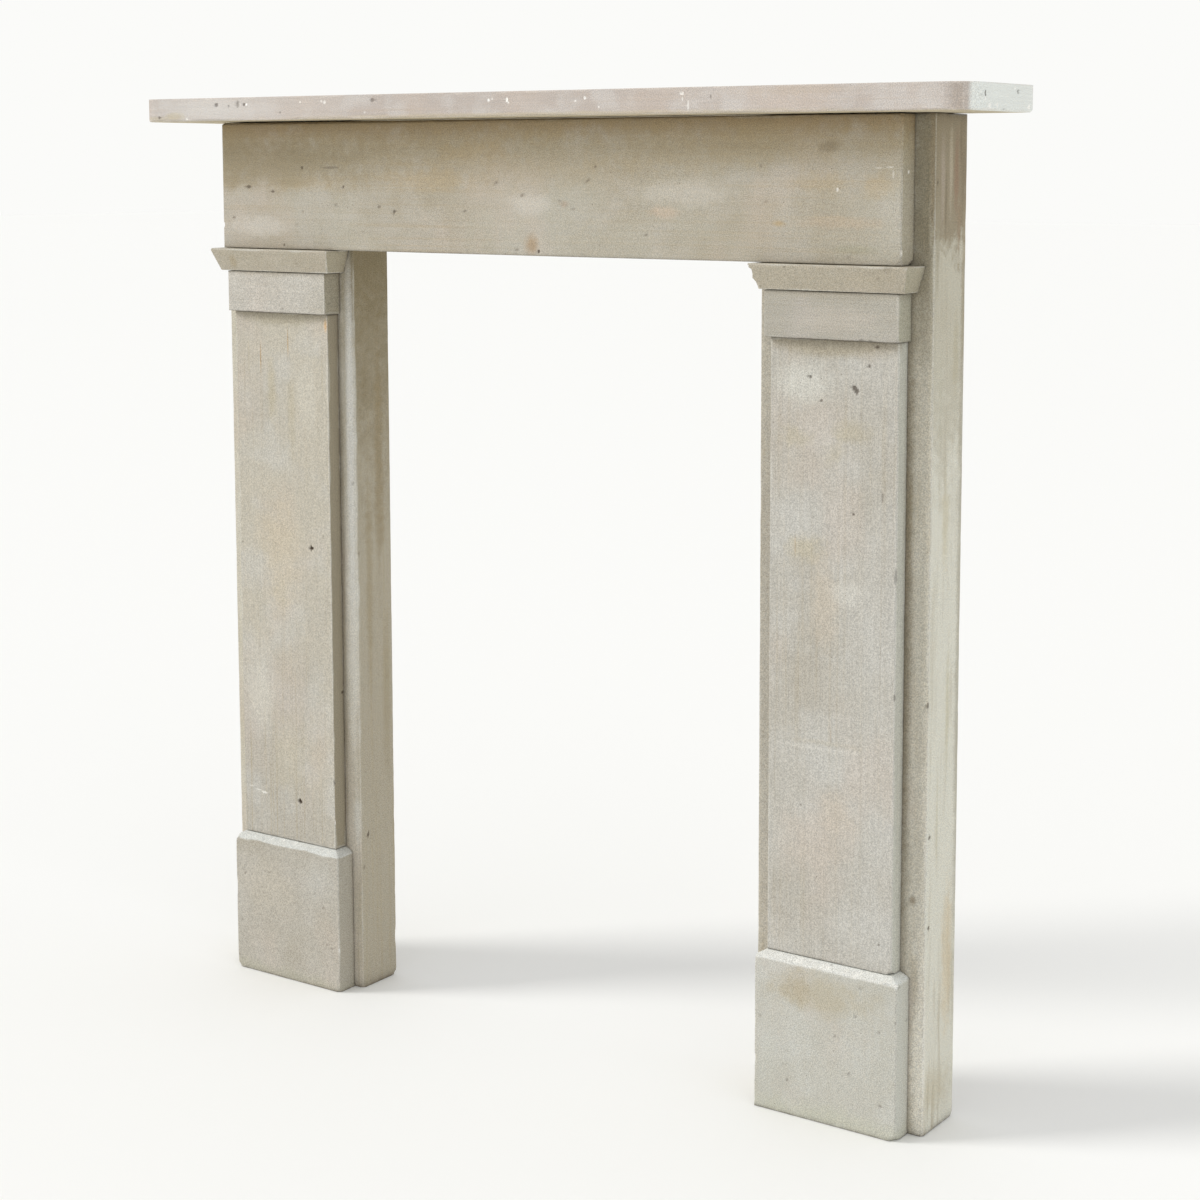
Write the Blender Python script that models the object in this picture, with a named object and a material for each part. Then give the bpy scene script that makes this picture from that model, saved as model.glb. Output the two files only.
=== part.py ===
"""Plain sandstone chimneypiece: two pilastered jambs, a flat frieze and a mantel shelf.

Metres, +Z up, front towards -Y. The origin lies at floor level in the middle of the shelf's
plan. The backs of the shelf and of the right jamb lie in one plane, the face of the wall.
"""
import math

import bmesh
import bpy

# Clearances
CONTACT_GAP = 0.0003           # between stones that touch
SHELF_JOINT = 0.0008           # thin joint between the frieze's top and the shelf

# Jambs: the two full-height blocks against the wall
OPENING_WIDTH = 0.636
JAMB_WIDTH = 0.2265
JAMB_DEPTH = 0.078
LEFT_JAMB_SHORTFALL = 0.008    # the left block is cut this much shallower, at its back
JAMB_ARRIS = 0.0025

# Pilasters: the thin stones in front of each jamb, from the floor up
PILASTER_INSET = 0.002         # their middle line lies this much nearer the opening
PLINTH_HEIGHT = 0.196
LEFT_PLINTH_RISE = 0.002       # the left plinth is this much taller, its shaft as much shorter
PLINTH_SIDE_OVERHANG = 0.012   # past the shaft
PLINTH_FRONT_OVERHANG = 0.009
PLINTH_CHAMFER_RISE = 0.0075
SHAFT_HEIGHT = 0.736
SHAFT_WIDTH = 0.1685
SHAFT_THICKNESS = 0.0225
SHAFT_ARRIS = 0.0025
NECK_HEIGHT = 0.055
NECK_SIDE_OVERHANG = 0.0038    # past the shaft
NECK_FRONT_OVERHANG = 0.009
CAP_HEIGHT = 0.0305
CAP_LIP = 0.003                # upright edge at the top of the splay
CAP_FOOT_SIDE_OVERHANG = 0.0072  # past the neck
CAP_FOOT_FRONT_OVERHANG = 0.002
CAP_SIDE_SPLAY = 0.009
CAP_FRONT_SPLAY = 0.0115
LEFT_CAP_REACH = 0.003         # the left cap goes this much further past its outer side

# Frieze: one slab across both caps
FRIEZE_HEIGHT = 0.1695
FRIEZE_THICKNESS = 0.030
FRIEZE_SETBACK_LEFT = 0.0195   # from the jamb's outer side
FRIEZE_SETBACK_RIGHT = 0.0255
FRIEZE_ARRIS = 0.0025

# Shelf: one slab over everything, with rounded front corners
SHELF_THICKNESS = 0.031
SHELF_END_OVERHANG = 0.0805    # past the jamb's outer side
SHELF_FRONT_OVERHANG = 0.0547  # past the frieze's face
SHELF_LEFT_RADIUS = 0.030      # of the front corners
SHELF_RIGHT_RADIUS = 0.038
SHELF_ARRIS = 0.0018

ARRIS = 0.0012                 # softened edges of the small stones
CORNER_SEGMENTS = 12
ARRIS_SEGMENTS = 2
ARRIS_ANGLE = math.radians(25)

# Places that follow from the sizes
jamb_outer = OPENING_WIDTH / 2 + JAMB_WIDTH
pilaster_middle = OPENING_WIDTH / 2 + JAMB_WIDTH / 2 - PILASTER_INSET
frieze_face = JAMB_DEPTH + CONTACT_GAP + FRIEZE_THICKNESS
shelf_depth = frieze_face + SHELF_FRONT_OVERHANG
wall_y = shelf_depth / 2
jamb_face_y = wall_y - JAMB_DEPTH
pilaster_back_y = jamb_face_y - CONTACT_GAP

neck_base = PLINTH_HEIGHT + CONTACT_GAP + SHAFT_HEIGHT + CONTACT_GAP
cap_base = neck_base + NECK_HEIGHT + CONTACT_GAP
frieze_base = cap_base + CAP_HEIGHT + CONTACT_GAP
shelf_base = frieze_base + FRIEZE_HEIGHT + SHELF_JOINT
jamb_height = shelf_base - CONTACT_GAP

plinth_width = SHAFT_WIDTH + 2 * PLINTH_SIDE_OVERHANG
plinth_thickness = SHAFT_THICKNESS + PLINTH_FRONT_OVERHANG
neck_width = SHAFT_WIDTH + 2 * NECK_SIDE_OVERHANG
neck_thickness = SHAFT_THICKNESS + NECK_FRONT_OVERHANG
cap_foot_width = neck_width + 2 * CAP_FOOT_SIDE_OVERHANG
cap_foot_thickness = neck_thickness + CAP_FOOT_FRONT_OVERHANG


def stone_material(name, colour, roughness):
    """A matt stone in one plain colour (linear RGB)."""
    material = bpy.data.materials.new(name)
    material.use_nodes = True
    shader = material.node_tree.nodes["Principled BSDF"]
    shader.inputs["Base Color"].default_value = (*colour, 1.0)
    shader.inputs["Roughness"].default_value = roughness
    shader.inputs["Metallic"].default_value = 0.0
    material.diffuse_color = (*colour, 1.0)
    return material


def stone_object(name, bm, location, material, arris):
    """Makes the mesh an object and softens its arrises."""
    bmesh.ops.recalc_face_normals(bm, faces=bm.faces)
    mesh = bpy.data.meshes.new(name)
    bm.to_mesh(mesh)
    bm.free()
    mesh.materials.append(material)
    stone = bpy.data.objects.new(name, mesh)
    bpy.context.scene.collection.objects.link(stone)
    stone.location = location
    bevel = stone.modifiers.new("arris", "BEVEL")
    bevel.width = arris
    bevel.segments = ARRIS_SEGMENTS
    bevel.limit_method = "ANGLE"
    bevel.angle_limit = ARRIS_ANGLE
    return stone


def block(name, levels, location, material, arris):
    """A block whose back is flat, drawn through rectangles at rising levels.

    Each level is (height, width, thickness): the rectangle is centred left to right, and
    its thickness is measured forwards from the back.
    """
    bm = bmesh.new()
    rings = []
    for height, width, thickness in levels:
        corners = ((-width / 2, 0), (width / 2, 0), (width / 2, -thickness), (-width / 2, -thickness))
        rings.append([bm.verts.new((x, y, height)) for x, y in corners])
    bm.faces.new(rings[0])
    bm.faces.new(rings[-1])
    for lower, upper in zip(rings, rings[1:]):
        for i in range(4):
            j = (i + 1) % 4
            bm.faces.new((lower[i], lower[j], upper[j], upper[i]))
    return stone_object(name, bm, location, material, arris)


def straight_block(name, width, thickness, height, location, material, arris=ARRIS):
    """A plain squared block."""
    levels = ((0, width, thickness), (height, width, thickness))
    return block(name, levels, location, material, arris)


def build_jamb(side, place, shortfall, material):
    """A jamb block; both faces line up, and a shallower one stands off the wall."""
    depth = JAMB_DEPTH - shortfall
    location = (place * (OPENING_WIDTH + JAMB_WIDTH) / 2, jamb_face_y + depth, 0)
    return straight_block(
        f"jamb_block_{side}", JAMB_WIDTH, depth, jamb_height, location, material, JAMB_ARRIS
    )


def build_plinth(side, place, rise, material):
    """The foot of the pilaster; its top is chamfered back to the shaft on three sides."""
    height = PLINTH_HEIGHT + rise
    levels = (
        (0, plinth_width, plinth_thickness),
        (height - PLINTH_CHAMFER_RISE, plinth_width, plinth_thickness),
        (height, SHAFT_WIDTH, SHAFT_THICKNESS),
    )
    location = (place * pilaster_middle, pilaster_back_y, 0)
    return block(f"plinth_{side}", levels, location, material, ARRIS)


def build_shaft(side, place, rise, material):
    """The flat panel between plinth and neck; it is shorter where its plinth is taller."""
    height = SHAFT_HEIGHT - rise
    location = (place * pilaster_middle, pilaster_back_y, neck_base - CONTACT_GAP - height)
    return straight_block(
        f"shaft_{side}", SHAFT_WIDTH, SHAFT_THICKNESS, height, location, material, SHAFT_ARRIS
    )


def build_neck(side, place, material):
    location = (place * pilaster_middle, pilaster_back_y, neck_base)
    return straight_block(
        f"neck_block_{side}", neck_width, neck_thickness, NECK_HEIGHT, location, material
    )


def build_cap(side, place, reach, material):
    """The splayed cap: it widens upwards in front and at both ends, under a thin lip."""
    foot_width = cap_foot_width + reach
    top_width = foot_width + 2 * CAP_SIDE_SPLAY
    top_thickness = cap_foot_thickness + CAP_FRONT_SPLAY
    levels = (
        (0, foot_width, cap_foot_thickness),
        (CAP_HEIGHT - CAP_LIP, top_width, top_thickness),
        (CAP_HEIGHT, top_width, top_thickness),
    )
    location = (place * (pilaster_middle + reach / 2), pilaster_back_y, cap_base)
    return block(f"cap_{side}", levels, location, material, ARRIS)


def build_frieze(material):
    left_end = FRIEZE_SETBACK_LEFT - jamb_outer
    right_end = jamb_outer - FRIEZE_SETBACK_RIGHT
    width = right_end - left_end
    location = ((left_end + right_end) / 2, pilaster_back_y, frieze_base)
    return straight_block(
        "frieze", width, FRIEZE_THICKNESS, FRIEZE_HEIGHT, location, material, FRIEZE_ARRIS
    )


def build_shelf(material):
    """The mantel shelf, a slab with square back corners and round front ones."""
    half_length = jamb_outer + SHELF_END_OVERHANG
    outline = [(half_length, 0), (-half_length, 0)]
    corners = ((-1, math.pi, SHELF_LEFT_RADIUS), (1, 1.5 * math.pi, SHELF_RIGHT_RADIUS))
    for side, start, radius in corners:
        for i in range(CORNER_SEGMENTS + 1):
            angle = start + i / CORNER_SEGMENTS * math.pi / 2
            x = side * (half_length - radius) + radius * math.cos(angle)
            outline.append((x, radius - shelf_depth + radius * math.sin(angle)))
    bm = bmesh.new()
    underside = bm.faces.new([bm.verts.new((x, y, 0)) for x, y in outline])
    swept = bmesh.ops.extrude_face_region(bm, geom=[underside])["geom"]
    risen = [item for item in swept if isinstance(item, bmesh.types.BMVert)]
    bmesh.ops.translate(bm, verts=risen, vec=(0, 0, SHELF_THICKNESS))
    return stone_object("mantel_shelf", bm, (0, wall_y, shelf_base), material, SHELF_ARRIS)


def build():
    for old in list(bpy.data.objects):
        bpy.data.objects.remove(old)
    build_shelf(stone_material("shelf_stone", (0.55, 0.49, 0.44), 0.85))
    build_frieze(stone_material("frieze_stone", (0.42, 0.37, 0.28), 0.9))
    jamb_stone = stone_material("jamb_stone", (0.43, 0.39, 0.31), 0.92)
    plinth_stone = stone_material("plinth_stone", (0.46, 0.44, 0.37), 0.95)
    shaft_stone = stone_material("shaft_stone", (0.50, 0.46, 0.38), 0.9)
    neck_stone = stone_material("neck_stone", (0.51, 0.46, 0.39), 0.9)
    cap_stone = stone_material("cap_stone", (0.46, 0.42, 0.34), 0.9)
    sides = (
        ("left", -1, LEFT_JAMB_SHORTFALL, LEFT_PLINTH_RISE, LEFT_CAP_REACH),
        ("right", 1, 0, 0, 0),
    )
    for side, place, shortfall, rise, reach in sides:
        build_jamb(side, place, shortfall, jamb_stone)
        build_plinth(side, place, rise, plinth_stone)
        build_shaft(side, place, rise, shaft_stone)
        build_neck(side, place, neck_stone)
        build_cap(side, place, reach, cap_stone)


build()
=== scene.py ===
import math

import bpy
import numpy as np
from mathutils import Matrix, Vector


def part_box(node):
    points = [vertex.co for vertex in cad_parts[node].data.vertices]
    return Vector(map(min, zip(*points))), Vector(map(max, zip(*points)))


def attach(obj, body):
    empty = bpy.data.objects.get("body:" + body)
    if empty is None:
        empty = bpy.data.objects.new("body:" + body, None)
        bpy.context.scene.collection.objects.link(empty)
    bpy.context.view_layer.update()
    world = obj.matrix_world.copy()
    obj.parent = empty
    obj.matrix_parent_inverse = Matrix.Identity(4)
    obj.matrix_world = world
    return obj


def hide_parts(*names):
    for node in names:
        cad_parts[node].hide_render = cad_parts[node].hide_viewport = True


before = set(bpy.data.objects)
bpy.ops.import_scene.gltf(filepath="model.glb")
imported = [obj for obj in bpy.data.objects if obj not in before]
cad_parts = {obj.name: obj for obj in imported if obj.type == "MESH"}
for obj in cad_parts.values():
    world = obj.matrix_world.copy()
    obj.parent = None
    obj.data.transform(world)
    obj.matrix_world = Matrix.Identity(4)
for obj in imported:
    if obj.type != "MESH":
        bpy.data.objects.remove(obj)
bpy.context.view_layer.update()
print("frame loaded:", len(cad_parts), "stones")

# Metres, in the frame's own axes: x to the right, y away from the viewer, z up.
photoSide = 1200
cameraLook = {
    "place": (1.7014, -2.2735, 1.1302),
    "tilt": 0.1130,            # looking down, radians
    "turn": 0.5951,            # turned to the left, radians
    "focal": 2261.0,           # in pixels of the photograph
    "sensor": 36.0,
    "centre": (650.0, 422.2),  # where the lens axis meets the photograph
}
lightLook = {
    "ambient": 0.76,
    "ambientTone": (1.0, 1.0, 1.0),
    "backdrop": (0.965, 0.965, 0.946),
    "keyPower": 1.70,
    "keyFrom": (-1.43, -1.0, 1.115),
    "keySpread": 17.0,
    "keyTone": (1.0, 0.99, 0.965),
    "sidePower": 0.35,
    "sideFrom": (1.6, -0.45, 0.9),
    "sideSpread": 60.0,
    "sideTone": (0.93, 0.98, 1.0),
    "exposure": 0.0,
}
floorLook = {"reach": 40.0, "paint": (0.895, 0.895, 0.878), "roughness": 0.7}


def linear(red, green, blue):
    # a colour given as seen on a screen, 0 to 255, turned into light
    out = []
    for part in (red, green, blue):
        share = part / 255
        out.append(share / 12.92 if share <= 0.04045 else ((share + 0.055) / 1.055) ** 2.4)
    return (out[0], out[1], out[2], 1.0)


def put(tree, kind, sockets=None, **settings):
    # adds a node; a socket's value may be a number, a colour or another node's output
    made = tree.nodes.new(kind)
    for name, value in settings.items():
        setattr(made, name, value)
    for name, value in (sockets or {}).items():
        if isinstance(value, bpy.types.NodeSocket):
            tree.links.new(value, made.inputs[name])
        else:
            made.inputs[name].default_value = value
    return made


def sums(tree, operation, first, second=None, third=None, clamp=False):
    sockets = {0: first}
    if second is not None:
        sockets[1] = second
    if third is not None:
        sockets[2] = third
    return put(tree, "ShaderNodeMath", sockets, operation=operation, use_clamp=clamp).outputs[0]


def vectors(tree, operation, first, second=None):
    sockets = {0: first}
    if second is not None:
        sockets[1] = second
    made = put(tree, "ShaderNodeVectorMath", sockets, operation=operation)
    return made.outputs["Value" if operation in ("LENGTH", "DISTANCE", "DOT_PRODUCT") else "Vector"]


def ramp(tree, value, low, high, lowTo=0.0, highTo=1.0):
    sockets = {"Value": value, "From Min": low, "From Max": high, "To Min": lowTo, "To Max": highTo}
    made = put(tree, "ShaderNodeMapRange", sockets, interpolation_type="SMOOTHSTEP")
    return made.outputs["Result"]


def blendTone(tree, share, first, second, how="MIX"):
    made = put(tree, "ShaderNodeMix", data_type="RGBA", blend_type=how)
    for slot, value in ((0, share), (6, first), (7, second)):
        if isinstance(value, bpy.types.NodeSocket):
            tree.links.new(value, made.inputs[slot])
        else:
            made.inputs[slot].default_value = value
    return made.outputs[2]


# camera, light and floor
def makeCamera(look):
    data = bpy.data.cameras.new("photoCamera")
    data.sensor_width = look["sensor"]
    data.lens = look["focal"] * look["sensor"] / photoSide
    data.shift_x = (photoSide / 2 - look["centre"][0]) / photoSide
    data.shift_y = (look["centre"][1] - photoSide / 2) / photoSide
    camera = bpy.data.objects.new("photoCamera", data)
    camera.location = look["place"]
    camera.rotation_euler = (math.pi / 2 - look["tilt"], 0, look["turn"])
    bpy.context.scene.collection.objects.link(camera)
    bpy.context.scene.camera = camera


def makeSun(name, power, source, spread, tone):
    data = bpy.data.lights.new(name, "SUN")
    data.energy = power
    data.angle = math.radians(spread)
    data.color = tone
    lamp = bpy.data.objects.new(name, data)
    flat = math.hypot(source[0], source[1])
    heading = math.atan2(source[1], source[0]) + math.pi / 2
    lamp.rotation_euler = (math.atan2(flat, source[2]), 0, heading)
    bpy.context.scene.collection.objects.link(lamp)


def makeLight(look):
    makeSun("keyLight", look["keyPower"], look["keyFrom"], look["keySpread"], look["keyTone"])
    makeSun("sideLight", look["sidePower"], look["sideFrom"], look["sideSpread"], look["sideTone"])
    world = bpy.data.worlds.new("studio")
    bpy.context.scene.world = world
    world.use_nodes = True
    tree = world.node_tree
    tree.nodes.clear()
    sockets = {"Color": (*look["ambientTone"], 1), "Strength": look["ambient"]}
    fill = put(tree, "ShaderNodeBackground", sockets).outputs[0]
    seen = put(tree, "ShaderNodeBackground", {"Color": (*look["backdrop"], 1), "Strength": 1.0}).outputs[0]
    straight = put(tree, "ShaderNodeLightPath").outputs["Is Camera Ray"]
    both = put(tree, "ShaderNodeMixShader", {0: straight, 1: fill, 2: seen})
    put(tree, "ShaderNodeOutputWorld", {"Surface": both.outputs[0]})
    settings = bpy.context.scene.view_settings
    settings.view_transform = "Standard"
    settings.look = "None"
    settings.exposure = look["exposure"]


def makeFloor(look):
    reach = look["reach"]
    mesh = bpy.data.meshes.new("paleFloor")
    corners = [(-reach, -reach, 0), (reach, -reach, 0), (reach, reach, 0), (-reach, reach, 0)]
    mesh.from_pydata(corners, [], [(0, 1, 2, 3)])
    finish = bpy.data.materials.new("floorPaint")
    finish.use_nodes = True
    shader = finish.node_tree.nodes["Principled BSDF"]
    shader.inputs["Base Color"].default_value = (*look["paint"], 1)
    shader.inputs["Roughness"].default_value = look["roughness"]
    mesh.materials.append(finish)
    floor = bpy.data.objects.new("paleFloor", mesh)
    bpy.context.scene.collection.objects.link(floor)


makeCamera(cameraLook)
makeLight(lightLook)
makeFloor(floorLook)
print("camera, light and floor made")


# the sandstone itself
def markGroup():
    # one soft-edged spot in the stone: 1 in its middle, 0 outside, with a rim broken by noise
    tree = bpy.data.node_groups.new("stoneMark", "ShaderNodeTree")
    face = tree.interface
    for name, kind in (("Place", "Vector"), ("Break", "Float"), ("Middle", "Vector"), ("Reach", "Vector"),
                       ("Ragged", "Float"), ("Soft", "Float"), ("Strength", "Float")):
        face.new_socket(name, in_out="INPUT", socket_type="NodeSocket" + kind)
    face.new_socket("Share", in_out="OUTPUT", socket_type="NodeSocketFloat")
    given = put(tree, "NodeGroupInput").outputs
    offset = vectors(tree, "SUBTRACT", given["Place"], given["Middle"])
    away = vectors(tree, "LENGTH", vectors(tree, "DIVIDE", offset, given["Reach"]))
    rim = sums(tree, "MULTIPLY", sums(tree, "SUBTRACT", given["Break"], 0.5), given["Ragged"])
    away = sums(tree, "ADD", away, rim)
    inner = sums(tree, "SUBTRACT", 1.0, given["Soft"])
    share = ramp(tree, away, inner, 1.0, 1.0, 0.0)
    share = sums(tree, "MULTIPLY", share, given["Strength"])
    put(tree, "NodeGroupOutput", {"Share": share})
    return tree


stoneMark = markGroup()

# what every stone starts from; each stone's own dictionary changes some of it
plainStone = {
    "tone": (188, 183, 170), "paleTone": (200, 196, 186), "darkTone": (172, 164, 147), "cloudSize": 0.3,
    "patchSize": 0.06, "patchShare": 0.4, "streakTone": (166, 154, 130), "streakShare": 0.3,
    "streakWidth": 0.006, "streakLength": 0.25, "streakUp": True, "combShare": 0.03, "grainSize": 0.0012,
    "grainShare": 0.25, "tintShare": 0.24, "speckTone": (84, 70, 50), "speckSize": 0.001,
    "speckGap": 0.009, "speckMany": 0.26, "speckShare": 0.6, "blushTone": (190, 176, 162),
    "blushSize": 0.15, "blushShare": 0.3, "wornTone": (206, 205, 197), "wornWidth": 0.0022,
    "wornShare": 0.35, "grimeAndShadeTone": (58, 46, 28), "grimeAndShadeShare": 1.0, "chipTone": (244, 242, 236),
    "pitTone": (62, 48, 34), "roughness": 0.86, "bump": 0.45, "faceLightAndTones": (), "marks": (),
}


def sandstone(look):
    look = {**plainStone, **look}
    made = bpy.data.materials.new(look["finish"])
    made.use_nodes = True
    tree = made.node_tree
    tree.nodes.clear()
    coordinates = put(tree, "ShaderNodeTexCoord").outputs
    place = coordinates["Object"]
    shift = put(tree, "ShaderNodeMapping", {"Vector": place, "Location": look["shift"]}).outputs["Vector"]

    def noise(size, detail=3.0, stretch=(1, 1, 1), rough=0.55):
        moved = vectors(tree, "MULTIPLY", shift, stretch)
        sockets = {"Vector": moved, "Scale": 1 / size, "Detail": detail, "Roughness": rough}
        return put(tree, "ShaderNodeTexNoise", sockets).outputs[0]

    # broad clouds and smaller patches of lighter and darker stone
    cloud = noise(look["cloudSize"], 4.0)
    patch = noise(look["patchSize"], 4.0)
    clouded = ramp(tree, cloud, 0.38, 0.62)
    colour = blendTone(tree, clouded, linear(*look["darkTone"]), linear(*look["tone"]))
    share = sums(tree, "MULTIPLY", ramp(tree, patch, 0.42, 0.68), look["patchShare"])
    colour = blendTone(tree, share, colour, linear(*look["paleTone"]))
    blush = noise(look["blushSize"], 3.0, (1.3, 1.3, 0.8))
    share = sums(tree, "MULTIPLY", ramp(tree, blush, 0.48, 0.66), look["blushShare"])
    colour = blendTone(tree, share, colour, linear(*look["blushTone"]))

    # a side of the stone may have its own tone: mostly painted light and shade by the way the face turns,
    # on a few sides soot
    normal = coordinates["Normal"]
    for side in look["faceLightAndTones"]:
        facing = ramp(tree, vectors(tree, "DOT_PRODUCT", normal, side["facing"]), 0.62, 0.88)
        share = sums(tree, "MULTIPLY", facing, side["share"])
        colour = blendTone(tree, share, colour, linear(*side["tone"]))

    # bedding and tooling streaks run up a leg and along the beam
    thin, long = 0.05 / look["streakWidth"], 0.05 / look["streakLength"]
    stretch = (thin, thin, long) if look["streakUp"] else (long, long, thin)
    streak = noise(0.05, 3.0, stretch)
    share = sums(tree, "MULTIPLY", ramp(tree, streak, 0.48, 0.72), look["streakShare"])
    share = sums(tree, "MULTIPLY", share, ramp(tree, cloud, 0.34, 0.62, 1.0, 0.3))
    colour = blendTone(tree, share, colour, linear(*look["streakTone"]))

    # marks that lie in one place
    broken = noise(0.012, 4.0, (1, 1, 1), 0.65)
    frayed = sums(tree, "MULTIPLY", sums(tree, "ADD", broken, patch), 0.5)
    for mark in look["marks"]:
        spot = put(tree, "ShaderNodeGroup", node_tree=stoneMark)
        tree.links.new(place, spot.inputs["Place"])
        tree.links.new(frayed, spot.inputs["Break"])
        for label in ("Middle", "Reach", "Ragged", "Soft", "Strength"):
            spot.inputs[label].default_value = mark[label.lower()]
        colour = blendTone(tree, spot.outputs[0], colour, linear(*mark["tone"]))

    # worn arrises are paler, joints keep their dirt and painted contact shade, fresh chips are bright and
    # pits dark
    def stored(name):
        return put(tree, "ShaderNodeAttribute", attribute_name=name).outputs["Fac"]

    gap = stored("edgeGap")
    fray = sums(tree, "MULTIPLY", sums(tree, "SUBTRACT", patch, 0.5), look["wornWidth"] * 6)
    worn = ramp(tree, sums(tree, "ADD", gap, fray), 0.0, look["wornWidth"], 1.0, 0.0)
    rubbed = stored("rubbed")
    worn = sums(tree, "MAXIMUM", worn, rubbed)
    worn = sums(tree, "MULTIPLY", worn, look["wornShare"])
    colour = blendTone(tree, worn, colour, linear(*look["wornTone"]))
    # dark at the joints: dirt together with painted contact shade where stones meet each other and the
    # floor
    grimeAndShade = stored("grimeAndShade")
    grimeAndShade = sums(tree, "MULTIPLY", grimeAndShade, ramp(tree, broken, 0.30, 0.60, 0.55, 1.0))
    grimeAndShade = sums(tree, "MULTIPLY", grimeAndShade, look["grimeAndShadeShare"])
    colour = blendTone(tree, grimeAndShade, colour, linear(*look["grimeAndShadeTone"]))
    chipped = stored("chipped")
    colour = blendTone(tree, chipped, colour, linear(*look["chipTone"]))
    pitted = stored("pitted")
    colour = blendTone(tree, pitted, colour, linear(*look["pitTone"]))

    # sand grains: a fine speckle of changing tint over faint comb lines, and a few dark specks
    grain = noise(look["grainSize"], 1.0, (1, 1, 1), 0.6)
    comb = noise(0.05, 2.0, (36, 36, 1.0) if look["streakUp"] else (1.0, 1.0, 26))
    tint = noise(look["grainSize"] * 2.1, 1.0)
    level = ramp(tree, grain, 0.25, 0.75, 1 - look["grainShare"], 1 + look["grainShare"])
    combed = ramp(tree, comb, 0.30, 0.70, 1 - look["combShare"], 1 + look["combShare"])
    level = sums(tree, "MULTIPLY", level, combed)
    colour = vectors(tree, "SCALE", colour)
    tree.links.new(level, colour.node.inputs["Scale"])
    tinted = blendTone(tree, ramp(tree, tint, 0.3, 0.7), (1.06, 1.0, 0.92, 1), (0.95, 1.0, 1.07, 1))
    colour = blendTone(tree, look["tintShare"], colour, tinted, "MULTIPLY")
    cells = put(tree, "ShaderNodeTexVoronoi", {"Vector": shift, "Scale": 1 / look["speckGap"]}).outputs
    chance = put(tree, "ShaderNodeSeparateColor", {0: cells["Color"]}).outputs
    width = ramp(tree, chance[1], 0.0, 1.0, 0.5, 1.0)
    width = sums(tree, "MULTIPLY", width, look["speckSize"] / look["speckGap"])
    speck = sums(tree, "SUBTRACT", 1.0, sums(tree, "DIVIDE", cells["Distance"], width))
    speck = ramp(tree, speck, 0.0, 0.5)
    speck = sums(tree, "MULTIPLY", speck, sums(tree, "LESS_THAN", chance[0], look["speckMany"]))
    speck = sums(tree, "MULTIPLY", speck, look["speckShare"])
    colour = blendTone(tree, speck, colour, linear(*look["speckTone"]))

    rough = ramp(tree, patch, 0.3, 0.7, look["roughness"] - 0.07, look["roughness"] + 0.07)
    rough = sums(tree, "ADD", rough, sums(tree, "MULTIPLY", worn, -0.10))
    height = sums(tree, "ADD", grain, sums(tree, "MULTIPLY", broken, 1.4))
    height = sums(tree, "ADD", height, sums(tree, "MULTIPLY", streak, 0.8))
    bump = put(tree, "ShaderNodeBump", {"Height": height, "Strength": look["bump"], "Distance": 0.0006})
    sockets = {"Base Color": colour, "Roughness": rough, "Normal": bump.outputs[0]}
    sockets["Specular IOR Level"] = 0.3
    shader = put(tree, "ShaderNodeBsdfPrincipled", sockets)
    put(tree, "ShaderNodeOutputMaterial", {"Surface": shader.outputs[0]})
    return made


# the tree's inputs, and where a stone's dictionary gives them
wearInputs = {
    "Arris round": "arrisRound", "Bed arris round": "bedRound", "Arris wear": "arrisWear",
    "Wear size": "wearSize", "Hollow depth": "hollowDepth", "Hollow size": "hollowSize",
    "Pits per square metre": "pitsPerSquareMetre", "Pit width": "pitWidth", "Pit depth": "pitDepth",
    "Seed": "seed",
}


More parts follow.
